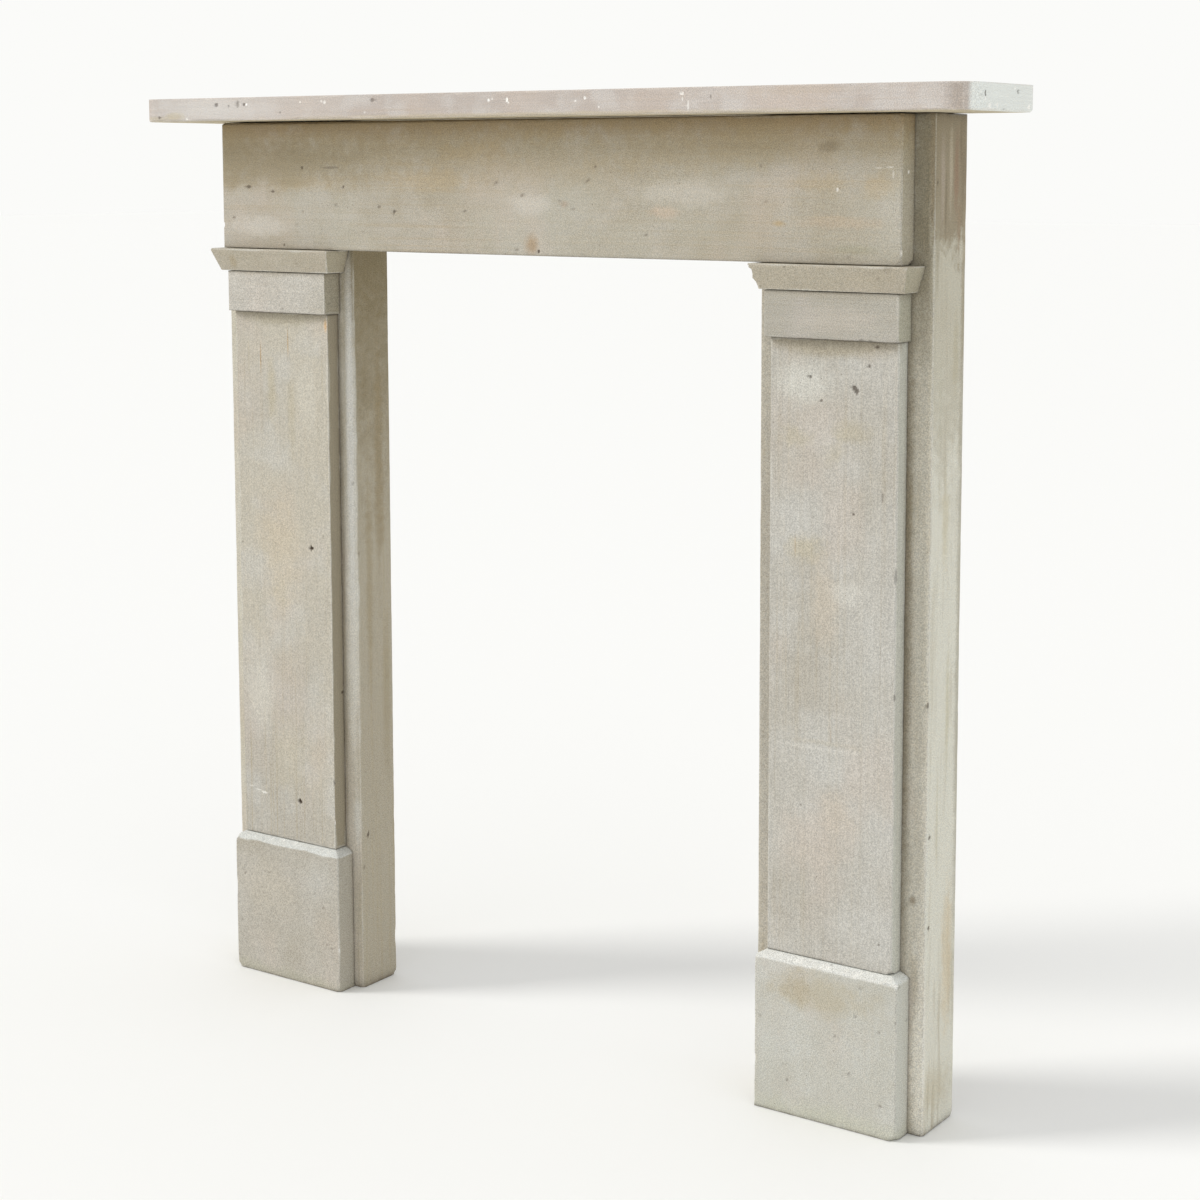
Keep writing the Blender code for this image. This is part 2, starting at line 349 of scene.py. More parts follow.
def wearTree():
    # Geometry Nodes: takes a square-cut block and gives it worn arrises, hollows and scattered pits
    tree = bpy.data.node_groups.new("stoneWear", "GeometryNodeTree")
    face = tree.interface
    face.new_socket("Geometry", in_out="INPUT", socket_type="NodeSocketGeometry")
    for name in wearInputs:
        whole = name == "Seed"
        face.new_socket(name, in_out="INPUT", socket_type="NodeSocketInt" if whole else "NodeSocketFloat")
    face.new_socket("Stone", in_out="INPUT", socket_type="NodeSocketMaterial")
    face.new_socket("Geometry", in_out="OUTPUT", socket_type="NodeSocketGeometry")
    given = put(tree, "NodeGroupInput").outputs
    block = given["Geometry"]
    place = put(tree, "GeometryNodeInputPosition").outputs[0]
    bounds = put(tree, "GeometryNodeBoundBox", {"Geometry": block}).outputs
    below = vectors(tree, "SUBTRACT", place, bounds["Min"])
    above = vectors(tree, "SUBTRACT", bounds["Max"], place)
    gap = vectors(tree, "MINIMUM", below, above)
    side = vectors(tree, "SIGN", vectors(tree, "SUBTRACT", below, above))
    seedShift = sums(tree, "MULTIPLY", given["Seed"], 7.31)

    def noise(size, detail):
        scale = sums(tree, "DIVIDE", 1.0, size)
        sockets = {"Vector": place, "W": seedShift, "Scale": scale, "Detail": detail}
        return put(tree, "ShaderNodeTexNoise", sockets, noise_dimensions="4D").outputs[0]

    # how far each arris is rounded, which changes along it
    rub = ramp(tree, noise(given["Wear size"], 3.0), 0.46, 0.74)
    upright = sums(tree, "ADD", given["Arris round"], sums(tree, "MULTIPLY", rub, given["Arris wear"]))
    bedded = sums(tree, "MULTIPLY", sums(tree, "MULTIPLY", rub, given["Arris wear"]), 0.4)
    bedded = sums(tree, "ADD", given["Bed arris round"], bedded)
    parts = put(tree, "ShaderNodeSeparateXYZ", {0: gap}).outputs
    rise = sums(tree, "DIVIDE", parts[2], sums(tree, "MAXIMUM", upright, bedded))
    rise = ramp(tree, rise, 0.8, 3.0)
    more = sums(tree, "MULTIPLY", sums(tree, "SUBTRACT", upright, bedded), rise)
    radius = sums(tree, "ADD", bedded, more)
    wide = put(tree, "ShaderNodeCombineXYZ", {0: radius, 1: radius, 2: radius}).outputs[0]
    inward = vectors(tree, "MAXIMUM", vectors(tree, "SUBTRACT", wide, gap), (0, 0, 0))
    outward = vectors(tree, "MULTIPLY", inward, side)
    length = vectors(tree, "LENGTH", outward)
    pull = sums(tree, "SUBTRACT", sums(tree, "DIVIDE", radius, length), 1.0)
    rounding = put(tree, "ShaderNodeVectorMath", {0: outward, "Scale": pull}, operation="SCALE").outputs[0]
    normal = vectors(tree, "NORMALIZE", outward)

    # shallow hollows left by the chisel and by handling, always into the stone
    hollow = sums(tree, "MULTIPLY", noise(given["Hollow size"], 3.0), given["Hollow depth"])

    # scattered pits: each point of the block is pushed in by its nearest pit
    pits = put(tree, "GeometryNodeDistributePointsOnFaces",
               {"Mesh": block, "Density": given["Pits per square metre"], "Seed": given["Seed"]})
    near = put(tree, "GeometryNodeProximity", {0: pits.outputs["Points"]}, target_element="POINTS")
    uneven = ramp(tree, noise(0.02, 2.0), 0.3, 0.7, 0.35, 1.0)
    pitWidth = sums(tree, "MULTIPLY", given["Pit width"], uneven)
    pit = ramp(tree, near.outputs["Distance"], 0.0, pitWidth, 1.0, 0.0)
    deep = sums(tree, "ADD", hollow, sums(tree, "MULTIPLY", pit, given["Pit depth"]))
    inset = sums(tree, "MULTIPLY", deep, -1.0)
    push = put(tree, "ShaderNodeVectorMath", {0: normal, "Scale": inset}, operation="SCALE").outputs[0]
    move = vectors(tree, "ADD", rounding, push)

    # how far the nearest arris is, kept for the material
    edges = [sums(tree, "MAXIMUM", parts[a], parts[b]) for a, b in ((0, 1), (1, 2), (0, 2))]
    edge = sums(tree, "MINIMUM", sums(tree, "MINIMUM", edges[0], edges[1]), edges[2])
    for name, value in (("edgeGap", edge), ("pitted", sums(tree, "MULTIPLY", pit, 0.55))):
        sockets = {"Geometry": block, "Name": name, "Value": value}
        block = put(tree, "GeometryNodeStoreNamedAttribute", sockets, domain="POINT").outputs[0]
    block = put(tree, "GeometryNodeSetPosition", {"Geometry": block, "Offset": move}).outputs[0]
    block = put(tree, "GeometryNodeRealizeInstances", {"Geometry": block}).outputs[0]
    sockets = {"Geometry": block, "Material": given["Stone"]}
    block = put(tree, "GeometryNodeSetMaterial", sockets).outputs[0]
    put(tree, "NodeGroupOutput", {"Geometry": block})
    return tree


stoneWear = wearTree()
nearEdge = (0.0, 0.0005, 0.0011, 0.0018, 0.0027, 0.0040, 0.0058)  # closer lines by every arris
closestLines = 0.0003  # a line nearer than this to another is left out
smallChip = 0.0065     # up to this half width, lines run through a chip
chipLineShares = (-0.9, -0.45, 0, 0.45, 0.9)
chipRim = 0.3          # how ragged a chip's rim is
print("stone material and wear made")


def lines(low, high, step, extra=()):
    # where a block is divided: close together by both ends and by each extra place
    places = [low + gap for gap in nearEdge] + [high - gap for gap in nearEdge]
    places += [value for value in extra if low < value < high]
    places = sorted(places)
    out = [low]
    for value in places[1:]:
        if value - out[-1] < closestLines or high - value < closestLines and value < high:
            continue
        count = max(1, math.ceil((value - out[-1]) / step - 1e-6))
        start = out[-1]
        out += [start + (value - start) * part / count for part in range(1, count + 1)]
    return np.array(out)


def blockMesh(name, low, high, step, extra):
    # a closed block of quads on three sets of lines
    axes = [lines(low[i], high[i], step[i], extra[i]) for i in range(3)]
    size = [len(axis) for axis in axes]
    number = -np.ones(size, dtype=np.int64)
    shell = np.zeros(size, dtype=bool)
    shell[[0, -1], :, :] = shell[:, [0, -1], :] = shell[:, :, [0, -1]] = True
    number[shell] = np.arange(int(shell.sum()))
    where = np.argwhere(shell)
    points = np.stack([axes[i][where[:, i]] for i in range(3)], axis=1)
    quads = []
    for axis in range(3):
        for end in (0, -1):
            sheet = np.take(number, end, axis=axis)
            corners = [sheet[:-1, :-1], sheet[1:, :-1], sheet[1:, 1:], sheet[:-1, 1:]]
            quad = np.stack(corners, axis=-1).reshape(-1, 4)
            # the two axes left are in order, so the turn changes with the axis and the end
            quads.append(quad if (end == 0) == (axis == 1) else quad[:, ::-1])
    mesh = bpy.data.meshes.new(name)
    mesh.from_pydata(points.tolist(), [], np.concatenate(quads).tolist())
    return mesh


def drift(points, size, seed):
    # a smooth random value from -1 to 1 that changes over about size metres
    grid = points / size + 0.37 * seed
    cell = np.floor(grid).astype(np.int64)
    part = grid - cell
    part = part * part * (3 - 2 * part)
    total = np.zeros(len(points))
    for corner in range(8):
        step = np.array([corner & 1, corner >> 1 & 1, corner >> 2 & 1])
        spot = cell + step
        mixed = spot[:, 0] * 73856093 ^ spot[:, 1] * 19349663 ^ spot[:, 2] * 83492791 ^ seed * 2654435
        mixed = (mixed ^ mixed >> 13) * 1274126177 & 0xFFFFFFFF
        value = (mixed >> 8 & 0xFFFF) / 32767.5 - 1
        total += value * np.prod(np.where(step == 1, part, 1 - part), axis=1)
    return total


def unit(direction):
    direction = np.array(direction, dtype=float)
    return direction / np.linalg.norm(direction)


def rubArris(points, rubbed, rub, seed):
    # rubs an arris down to a wavering flat: nothing is left beyond a plane set in from it
    out = unit(rub["out"])
    waver = rub["waver"] * (drift(points, 0.05, seed) + 0.5 * drift(points, 0.014, seed + 3))
    reach = (points - np.array(rub["at"])) @ out + rub["depth"] + waver
    cut = np.clip(reach, 0, None)
    points -= out * cut[:, None]
    if rub["pale"]:
        rubbed[:] = np.maximum(rubbed, np.clip((reach + 0.0006) / 0.0008, 0, 1))


def knockChip(points, chipped, pitted, chip, seed):
    # knocks a shallow scoop out of a face or an arris
    out = unit(chip["out"])
    width, depth = chip["width"], chip["depth"]
    radius = (width * width + depth * depth) / (2 * depth)
    offset = points - np.array(chip["at"])
    offset = offset / np.array(chip["stretch"])
    close = np.linalg.norm(offset, axis=1) < width * 2.5
    offset = offset[close]
    up = offset @ out
    across = np.linalg.norm(offset - out * up[:, None], axis=1)
    across = across * (1 + chipRim * drift(points[close], width * 0.7, seed))
    inside = radius * radius - across * across
    floorLevel = (radius - depth) - np.sqrt(np.clip(inside, 0, None))
    sink = np.where(inside > 0, np.clip(up - floorLevel, 0, None), 0)
    points[close] -= out * sink[:, None]
    touched = np.clip(sink / (depth * 0.35), 0, 1)
    shades = {"pale": chipped, "dark": pitted}
    if chip["shade"] in shades:
        shade = shades[chip["shade"]]
        shade[close] = np.maximum(shade[close], touched * chip["strength"])


def chipLines(look):
    # extra lines of the mesh through each small chip, so that its rim is crisp
    places = [list(extra) for extra in look["lines"]]
    for chip in look["chips"]:
        if chip["width"] > smallChip:
            continue
        out = unit(chip["out"])
        for axis in range(3):
            if abs(out[axis]) < 0.5:
                reach = chip["width"] * chip["stretch"][axis]
                places[axis] += [chip["at"][axis] + reach * part for part in chipLineShares]
    return places


def attribute(mesh, name, values):
    made = mesh.attributes.get(name) or mesh.attributes.new(name, "FLOAT", "POINT")
    made.data.foreach_set("value", values.astype(np.float32))


plainBlock = {
    "step": (0.0032, 0.004, 0.0032), "lines": ((), (), ()), "arrisRound": 0.001, "bedRound": 0.0005,
    "arrisWear": 0.0011, "wearSize": 0.05, "hollowDepth": 0.0005, "hollowSize": 0.11,
    "pitsPerSquareMetre": 60.0, "pitWidth": 0.0042, "pitDepth": 0.0008, "seed": 1, "rubs": (),
    "chips": (), "grimeAndShadeAt": (), "jointDepth": 0.0025, "shift": (0.0, 0.0, 0.0),
}


def cutStone(look, warp=None):
    look = {**plainBlock, **look}
    name = look["name"]
    low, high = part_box(look["node"])
    rough = blockMesh(name + "Block", low, high, look["step"], chipLines(look))
    maker = bpy.data.objects.new(name + "Block", rough)
    bpy.context.scene.collection.objects.link(maker)
    modifier = maker.modifiers.new("wear", "NODES")
    modifier.node_group = stoneWear
    values = {label: look[key] for label, key in wearInputs.items()}
    values["Stone"] = sandstone(look)
    for socket in stoneWear.interface.items_tree:
        if socket.in_out == "INPUT" and socket.name in values:
            modifier[socket.identifier] = values[socket.name]
    bpy.context.view_layer.update()
    graph = bpy.context.evaluated_depsgraph_get()
    mesh = bpy.data.meshes.new_from_object(maker.evaluated_get(graph))
    maker.modifiers.remove(modifier)
    bpy.data.objects.remove(maker)
    bpy.data.meshes.remove(rough)
    mesh.name = name

    points = np.empty(len(mesh.vertices) * 3, dtype=np.float32)
    mesh.vertices.foreach_get("co", points)
    points = points.reshape(-1, 3).astype(float)
    pitted = np.empty(len(points), dtype=np.float32)
    mesh.attributes["pitted"].data.foreach_get("value", pitted)
    chipped, rubbed, grimeAndShade = np.zeros(len(points)), np.zeros(len(points)), np.zeros(len(points))
    for count, rub in enumerate(look["rubs"]):
        rubArris(points, rubbed, rub, look["seed"] * 31 + count)
    if warp:
        warp(points, np.array(low), np.array(high), look)
    for count, chip in enumerate(look["chips"]):
        knockChip(points, chipped, pitted, chip, look["seed"] * 57 + count)
    gaps = np.minimum(points - np.array(low), np.array(high) - points)
    for axis, level, reach in look["grimeAndShadeAt"]:
        # joint dirt and painted contact shade keep to the rim of a joint; the bed behind it is clean
        rim = np.exp(-np.delete(gaps, axis, axis=1).min(axis=1) / look["jointDepth"])
        grimeAndShade = np.maximum(grimeAndShade, rim * np.exp(-np.abs(points[:, axis] - level) / reach))
    points = np.clip(points, np.array(low), np.array(high))
    mesh.vertices.foreach_set("co", points.astype(np.float32).ravel())
    for label, values in (("chipped", chipped), ("rubbed", rubbed), ("grimeAndShade", grimeAndShade), ("pitted", pitted)):
        attribute(mesh, label, values)
    mesh.polygons.foreach_set("use_smooth", np.ones(len(mesh.polygons), dtype=bool))
    mesh.update()
    stone = bpy.data.objects.new(name, mesh)
    bpy.context.scene.collection.objects.link(stone)
    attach(stone, "root")
    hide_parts(look["node"])
    print(name, "cut:", len(mesh.polygons) * 2, "triangles")
    return stone


# a mark is a stain in the stone's colour, a chip is cut into its shape
dot = (1, 1, 1)


def stain(middle, reach, tone, strength=0.5, ragged=1.2, soft=0.8):
    return {"middle": middle, "reach": reach, "tone": tone, "strength": strength, "ragged": ragged,
            "soft": soft}


def knock(at, out, width, depth, shade="pale", strength=0.7, stretch=dot):
    return {"at": at, "out": out, "width": width, "depth": depth, "shade": shade,
            "strength": strength, "stretch": stretch}


def rubbing(at, out, depth, waver, pale=True):
    return {"at": at, "out": out, "depth": depth, "waver": waver, "pale": pale}


def faceLightAndTone(facing, tone, share):
    return {"facing": facing, "tone": tone, "share": share}


def onFace(face, first, second, through):
    # a face is its axis, its level and the way it looks; this puts three measures in the order x, y, z
    values = [first, second]
    values.insert(face[0], through)
    return tuple(values)


def stains(face, through, places):
    # on one flat face: two coordinates, two reaches, tone, then strength, ragged and soft where they differ
    made = []
    for first, second, wide, tall, *rest in places:
        middle = onFace(face, first, second, face[1])
        made.append(stain(middle, onFace(face, wide, tall, through), *rest))
    return made


def chips(face, shade, places):
    # on one flat face: two coordinates, half width, depth, strength and any stretch along x, y and z
    made = []
    for first, second, width, depth, *rest in places:
        at = onFace(face, first, second, face[1])
        made.append(knock(at, face[2], width, depth, shade, *rest))
    return made


# shelf: one long slab with round front corners, its right end pale and cool: partly a cleaner end, partly
# painted light from the right
shelfFront = (1, -0.0815, (0, -1, 0))
shelfEnd = (0, 0.625, (1, 0, 0))
shelfLook = {
    "name": "shelfSlab", "node": "mantel_shelf", "slot": "shelf_stone", "finish": "shelfSandstone",
    "seed": 3, "leftRadius": 0.03, "rightRadius": 0.038, "step": (0.0054, 0.0075, 0.0036),
    "arrisRound": 0.0009, "bedRound": 0.0006, "arrisWear": 0.001, "hollowDepth": 0.0005,
    "pitsPerSquareMetre": 110.0, "pitWidth": 0.003, "pitDepth": 0.0007, "tone": (191, 182, 174),
    "paleTone": (199, 194, 189), "darkTone": (183, 173, 165), "streakTone": (184, 170, 156),
    "streakShare": 0.4, "streakUp": False, "streakWidth": 0.004, "grainShare": 0.2, "combShare": 0.03,
    "speckMany": 0.06, "patchShare": 0.6, "patchSize": 0.035, "blushTone": (196, 180, 166),
    "shift": (3.1, 0.2, 0.7), "wornTone": (218, 211, 202),
    # the underside is painted a light tan, the light it gets from the floor below
    "faceLightAndTones": (faceLightAndTone((0, 0, -1), (196, 184, 154), 0.85), faceLightAndTone((0, 0, 1), (190, 183, 172), 0.6)),
    "rubs": (
        rubbing((0, -0.0815, 1.189), (0, -1, -1), 0.0017, 0.0005, False),
        rubbing((0.625, 0, 1.189), (1, 0, -1), 0.0018, 0.0012, False),
        rubbing((-0.625, 0, 1.189), (-1, 0, -1), 0.0015, 0.0008, False),
    ),
    "marks": (
        # the pale right end: partly a cleaner end, partly painted cool light from the right; next, a darker
        # band of painted shade where the front turns to the end
        stain((0.7, 0, 1.205), (0.0838, 3.0, 3.0), (226, 229, 224), 0.95, 0.06, 0.05),
        stain((0.609, -0.07, 1.205), (0.01, 0.03, 0.05), (178, 163, 148), 0.4),
        *stains(shelfFront, 0.01, (
            (-0.5584, 1.1965, 0.022, 0.0075, (176, 160, 122), 0.75, 1.8, 0.6),
            (-0.59, 1.193, 0.035, 0.005, (180, 168, 138), 0.55, 1.6),
            (-0.5, 1.205, 0.16, 0.03, (208, 206, 202), 0.6, 1.0, 0.9),
            (0.05, 1.191, 0.62, 0.0045, (190, 178, 150), 0.55),
            (0.42, 1.214, 0.12, 0.008, (186, 172, 156), 0.4, 1.4),
        )),
    ),
    "chips": (
        *chips(shelfFront, "pale", (
            (-0.4254, 1.2101, 0.0024, 0.001, 0.95), (-0.2877, 1.2113, 0.0034, 0.001, 0.6),
            (-0.293, 1.2125, 0.0022, 0.0008, 0.55), (-0.3299, 1.2119, 0.0022, 0.0008, 0.45),
            (-0.0204, 1.2095, 0.0026, 0.001, 0.9), (-0.015, 1.211, 0.0018, 0.0008, 0.55),
            (0.0077, 1.2095, 0.002, 0.001, 0.95, (1, 1, 1.8)), (0.1238, 1.21, 0.0022, 0.001, 0.85),
            (0.01, 1.206, 0.0018, 0.0008, 0.6), (0.1102, 1.2066, 0.002, 0.001, 0.6),
            (0.1444, 1.1991, 0.0018, 0.0008, 0.55), (0.261, 1.2127, 0.0024, 0.0008, 0.55, (1.6, 1, 1)),
            (0.2699, 1.1985, 0.0014, 0.0006, 0.65, (1, 1, 5)),
            (0.262, 1.206, 0.0016, 0.0006, 0.45, (1, 1, 2)), (-0.5359, 1.1922, 0.0026, 0.001, 0.6),
            (-0.22, 1.1975, 0.0022, 0.0006, 0.35),
        )),
        *chips(shelfFront, "dark", (
            (-0.4296, 1.2101, 0.0026, 0.0014, 0.6), (-0.4801, 1.2101, 0.003, 0.0016, 0.55, (1.4, 1, 1)),
            (-0.4574, 1.2084, 0.0022, 0.001, 0.35), (-0.4409, 1.2108, 0.0036, 0.0012, 0.4, (1, 1, 1.4)),
            (-0.2065, 1.2125, 0.0032, 0.0014, 0.45, (1.3, 1, 1)),
            (0.3009, 1.2082, 0.0016, 0.0008, 0.25, (1, 1, 2)), (-0.5877, 1.1948, 0.0024, 0.0012, 0.5),
            (-0.365, 1.199, 0.002, 0.001, 0.35),
        )),
        *chips(shelfEnd, "dark", (
            (-0.04, 1.2076, 0.002, 0.0016, 0.8, (1, 1, 1.8)),
            (0.0418, 1.2112, 0.0018, 0.0012, 0.7, (1, 1, 1.6)),
        )),
        *chips(shelfEnd, "pale", (
            (-0.04, 1.2025, 0.0026, 0.0008, 0.7), (0.0342, 1.2145, 0.002, 0.0008, 0.8),
            (-0.0287, 1.194, 0.0038, 0.0012, 0.85), (-0.0097, 1.1955, 0.003, 0.001, 0.8),
            (0.0714, 1.195, 0.0036, 0.0012, 0.8), (0.015, 1.206, 0.0024, 0.0006, 0.5),
        )),
        knock((0.625, 0.0815, 1.189), (1, 1, -1), 0.009, 0.003, "pale", 0.5),
        knock((0.6, -0.0815, 1.22), (0.4, -1, 1), 0.006, 0.0014, "pale", 0.3),
        knock((-0.33, -0.0815, 1.189), (0, -1, -1), 0.007, 0.003, "pale", 0.2),
        knock((0.46, -0.0815, 1.189), (0, -1, -1), 0.009, 0.0032, "pale", 0.2),
    ),
}


def roundCorners(points, low, high, look):
    middle = (low[0] + high[0]) / 2
    half = (high[0] - low[0]) / 2
    side = np.sign(points[:, 0] - middle)
    radius = np.where(side < 0, look["leftRadius"], look["rightRadius"])
    across = (np.abs(points[:, 0] - middle) - (half - radius)) / radius
    front = (low[1] + radius - points[:, 1]) / radius
    corner = (across > 0) & (front > 0)
    u, v, side, radius = across[corner], front[corner], side[corner], radius[corner]
    scale = np.maximum(u, v) / np.hypot(u, v)
    points[corner, 0] = middle + side * (half - radius + u * scale * radius)
    points[corner, 1] = low[1] + radius - v * scale * radius


cutStone(shelfLook, roundCorners)

# frieze: the beam under the shelf, darker along its top with soot and painted shade under the shelf
friezeFront = (1, -0.0268, (0, -1, 0))
friezeEnd = (0, 0.519, (1, 0, 0))
ochre, darkBrown, ash = (180, 154, 108), (150, 134, 104), (198, 193, 184)
friezeLook = {
    "name": "friezeBeam", "node": "frieze", "slot": "frieze_stone", "finish": "friezeSandstone",
    "seed": 5, "step": (0.0046, 0.005, 0.0042), "arrisRound": 0.001, "bedRound": 0.0008,
    "arrisWear": 0.0012, "combShare": 0.025, "grainShare": 0.25, "wornShare": 0.15, "streakUp": False,
    "streakWidth": 0.004, "streakLength": 0.4, "streakShare": 0.28, "tone": (174, 169, 155),
    "paleTone": (185, 180, 171), "darkTone": (166, 158, 141), "streakTone": (166, 148, 116),
    "shift": (1.3, 0.6, 2.2), "pitsPerSquareMetre": 110.0, "pitWidth": 0.0034,
    "grimeAndShadeAt": ((2, 1.1882, 0.0024), (2, 1.0187, 0.0011), (1, 0.0032, 0.0018)),
    "faceLightAndTones": (faceLightAndTone((1, 0, 0), (168, 161, 142), 0.85),),
    "rubs": (
        rubbing((0, -0.0268, 1.1882), (0, -1, 1.4), 0.0009, 0.0005, False),
        rubbing((0.3, -0.0268, 1.1882), (-0.004, -1, 1.8), 0.0014, 0.0004, False),
        rubbing((0.519, -0.0268, 1.1), (1, -1, 0), 0.0016, 0.0008, False),
    ),
    "marks": (
        # the top bands: soot together with painted shade under the shelf
        *stains(friezeFront, 0.2, (
            (0, 1.196, 3.0, 0.062, (148, 128, 92), 0.85, 1.4, 0.9),
            (0, 1.15, 3.0, 0.034, (172, 158, 128), 0.45, 1.8, 0.9),
        )),
        *stains(friezeFront, 0.05, (
            (-0.362, 1.108, 0.11, 0.018, ochre, 0.26, 2.4),
            (-0.16, 1.112, 0.13, 0.018, ochre, 0.26, 2.4), (-0.09, 1.147, 0.07, 0.02, ochre, 0.22, 2.4),
            # a darker brown band by the left end
            (-0.51, 1.11, 0.055, 0.022, darkBrown, 0.45, 1.8),
            (-0.42, 1.128, 0.28, 0.048, (148, 136, 110), 0.8, 1.4, 0.9),
            (0.0, 1.125, 0.34, 0.034, (164, 150, 124), 0.5, 1.6, 0.9),
            (0.44, 1.066, 0.09, 0.01, (182, 162, 138), 0.36, 2.4),
            (0.36, 1.064, 0.014, 0.006, ochre, 0.55, 1.4), (0.41, 1.112, 0.07, 0.018, ochre, 0.2, 2.4),
            (0.487, 1.108, 0.036, 0.02, ochre, 0.26, 2.2),
            (0.425, 1.151, 0.022, 0.01, (138, 126, 104), 0.55, 1.6),
            (0.462, 1.036, 0.034, 0.007, (156, 152, 130), 0.5, 1.8),
            (0.003, 1.033, 0.017, 0.018, (156, 128, 92), 0.6, 1.6),
            (0.0, 1.082, 0.045, 0.02, ash, 0.5, 1.6), (0.23, 1.098, 0.09, 0.02, ash, 0.4, 1.8),
            (-0.46, 1.05, 0.09, 0.02, ash, 0.55, 1.8),
            (0.2, 1.075, 0.03, 0.01, (196, 176, 156), 0.45, 1.6),
            (0.054, 1.083, 0.01, 0.006, (160, 140, 122), 0.45, 2.0),
        )),
    ),
    "chips": (
        *chips(friezeFront, "dark", (
            (-0.4765, 1.1014, 0.0028, 0.0016, 0.6, (1.6, 1, 1)), (-0.4323, 1.0954, 0.0024, 0.0014, 0.6),
            (-0.3788, 1.1276, 0.0024, 0.0014, 0.6), (-0.3284, 1.1277, 0.002, 0.0006, 0.3, (9, 1, 1)),
            (-0.3062, 1.1023, 0.0022, 0.0012, 0.55),
            (-0.2447, 1.0769, 0.0024, 0.0012, 0.45, (1.6, 1, 1)), (-0.2196, 1.0708, 0.0026, 0.0014, 0.6),
            (-0.4132, 1.0242, 0.0022, 0.0012, 0.5), (0.0137, 1.0249, 0.0024, 0.0014, 0.75),
            (0.0463, 1.0868, 0.002, 0.0008, 0.25, (2, 1, 1)),
            (0.0675, 1.0773, 0.002, 0.0008, 0.25, (2, 1, 1)), (0.335, 1.13, 0.0024, 0.001, 0.3),
            (-0.505, 1.06, 0.002, 0.001, 0.4, (2, 1, 1)), (0.1, 1.129, 0.0022, 0.001, 0.35),
        )),
        *chips(friezeFront, "pale", (
            (0.4895, 1.1277, 0.0022, 0.0005, 0.28, (3, 1, 1)),
            (0.503, 1.1285, 0.0022, 0.0005, 0.32, (3, 1, 1)),
            (0.507, 1.121, 0.002, 0.0005, 0.3, (1, 1, 3)),
            (0.4362, 1.103, 0.0018, 0.0008, 0.6, (1, 1, 1.6)),
        )),
        *chips(friezeEnd, "pale", ((-0.012, 1.123, 0.0026, 0.0008, 0.8),)),
        knock((0.519, -0.0268, 1.0187), (1, -1, -1), 0.01, 0.005, "pale", 0.35),
        knock((0.519, -0.0268, 1.033), (1, -1, 0), 0.006, 0.002, "pale", 0.5),
        knock((0.519, 0.0, 1.0187), (1, 0, -1), 0.009, 0.0045, "none"),
        knock((0.519, -0.0268, 1.1882), (1, -1, 1), 0.009, 0.004, "none"),
        knock((-0.525, -0.0268, 1.05), (-1, -1, 0), 0.005, 0.002, "pale", 0.2),
    ),
}
cutStone(friezeLook)

# jamb blocks: the plain uprights behind the pilasters
jambFront = (1, 0.0035, (0, -1, 0))
jambInner = (0, -0.318, (1, 0, 0))
jambOuter = (0, 0.5445, (1, 0, 0))
jambLook = {
    "slot": "jamb_stone", "step": (0.0042, 0.0045, 0.0042), "arrisRound": 0.0009, "bedRound": 0.001,
    "arrisWear": 0.001, "pitsPerSquareMetre": 50.0, "pitWidth": 0.0044, "tone": (194, 189, 175),
    "paleTone": (204, 201, 190), "darkTone": (182, 175, 157), "streakShare": 0.7,
    "streakTone": (168, 156, 130), "streakWidth": 0.005,
}
jambLeftLook = {
    **jambLook, "name": "jambLeft", "node": "jamb_block_left", "finish": "jambLeftSandstone", "seed": 7,
    "shift": (0.4, 2.0, 5.1), "streakShare": 0.6, "faceLightAndTones": (faceLightAndTone((1, 0, 0), (169, 161, 143), 0.9),),
    "grimeAndShadeAt": ((2, 0.0, 0.004),),
    "marks": (
        *stains(jambFront, 0.008, (
            # a dark strip beside the shaft: painted shadow of the shaft; the pale strip toward the inner
            # arris: painted light
            (-0.345, 0.6, 0.008, 0.8, (112, 98, 74), 0.5, 0.8, 0.95),
            (-0.328, 0.48, 0.014, 0.28, (218, 215, 205), 0.75, 1.4),
        )),
        stain((-0.318, 0.04, 1.08), (0.03, 0.2, 0.5), (130, 118, 90), 0.95, 1.2, 0.9),
        *stains(jambInner, 0.006, (
            (0.05, 0.74, 0.012, 0.26, (140, 124, 92), 0.55, 1.6),
            (0.028, 0.56, 0.01, 0.2, (150, 136, 106), 0.45, 1.6),
            (0.06, 0.4, 0.012, 0.16, (152, 140, 112), 0.4, 1.6),
        )),
        # pale strips by the inner arris: painted light
        stain((-0.325, 0.0035, 0.235), (0.01, 0.01, 0.06), (206, 204, 196), 0.6, 1.6),
        stain((-0.327, 0.0035, 0.78), (0.012, 0.008, 0.34), (222, 221, 215), 0.8, 1.0),
    ),
    "chips": (
        knock((-0.318, 0.0735, 0.055), (1, 1, 0), 0.02, 0.0018, "none"),
        knock((-0.318, 0.0735, 0.12), (1, 1, 0), 0.013, 0.0011, "none"),
        knock((-0.318, 0.0735, 0.23), (1, 1, 0), 0.02, 0.0012, "none"),
        knock((-0.318, 0.0735, 0.33), (1, 1, 0), 0.013, 0.0011, "none"),
        knock((-0.318, 0.0735, 0.0), (1, 1, -1), 0.014, 0.005, "none"),
        knock((-0.318, 0.018, 0.215), (1, 0, 0), 0.003, 0.0014, "dark"),
        knock((-0.318, 0.0035, 0.0), (1, -1, -1), 0.012, 0.004, "none"),
    ),
}
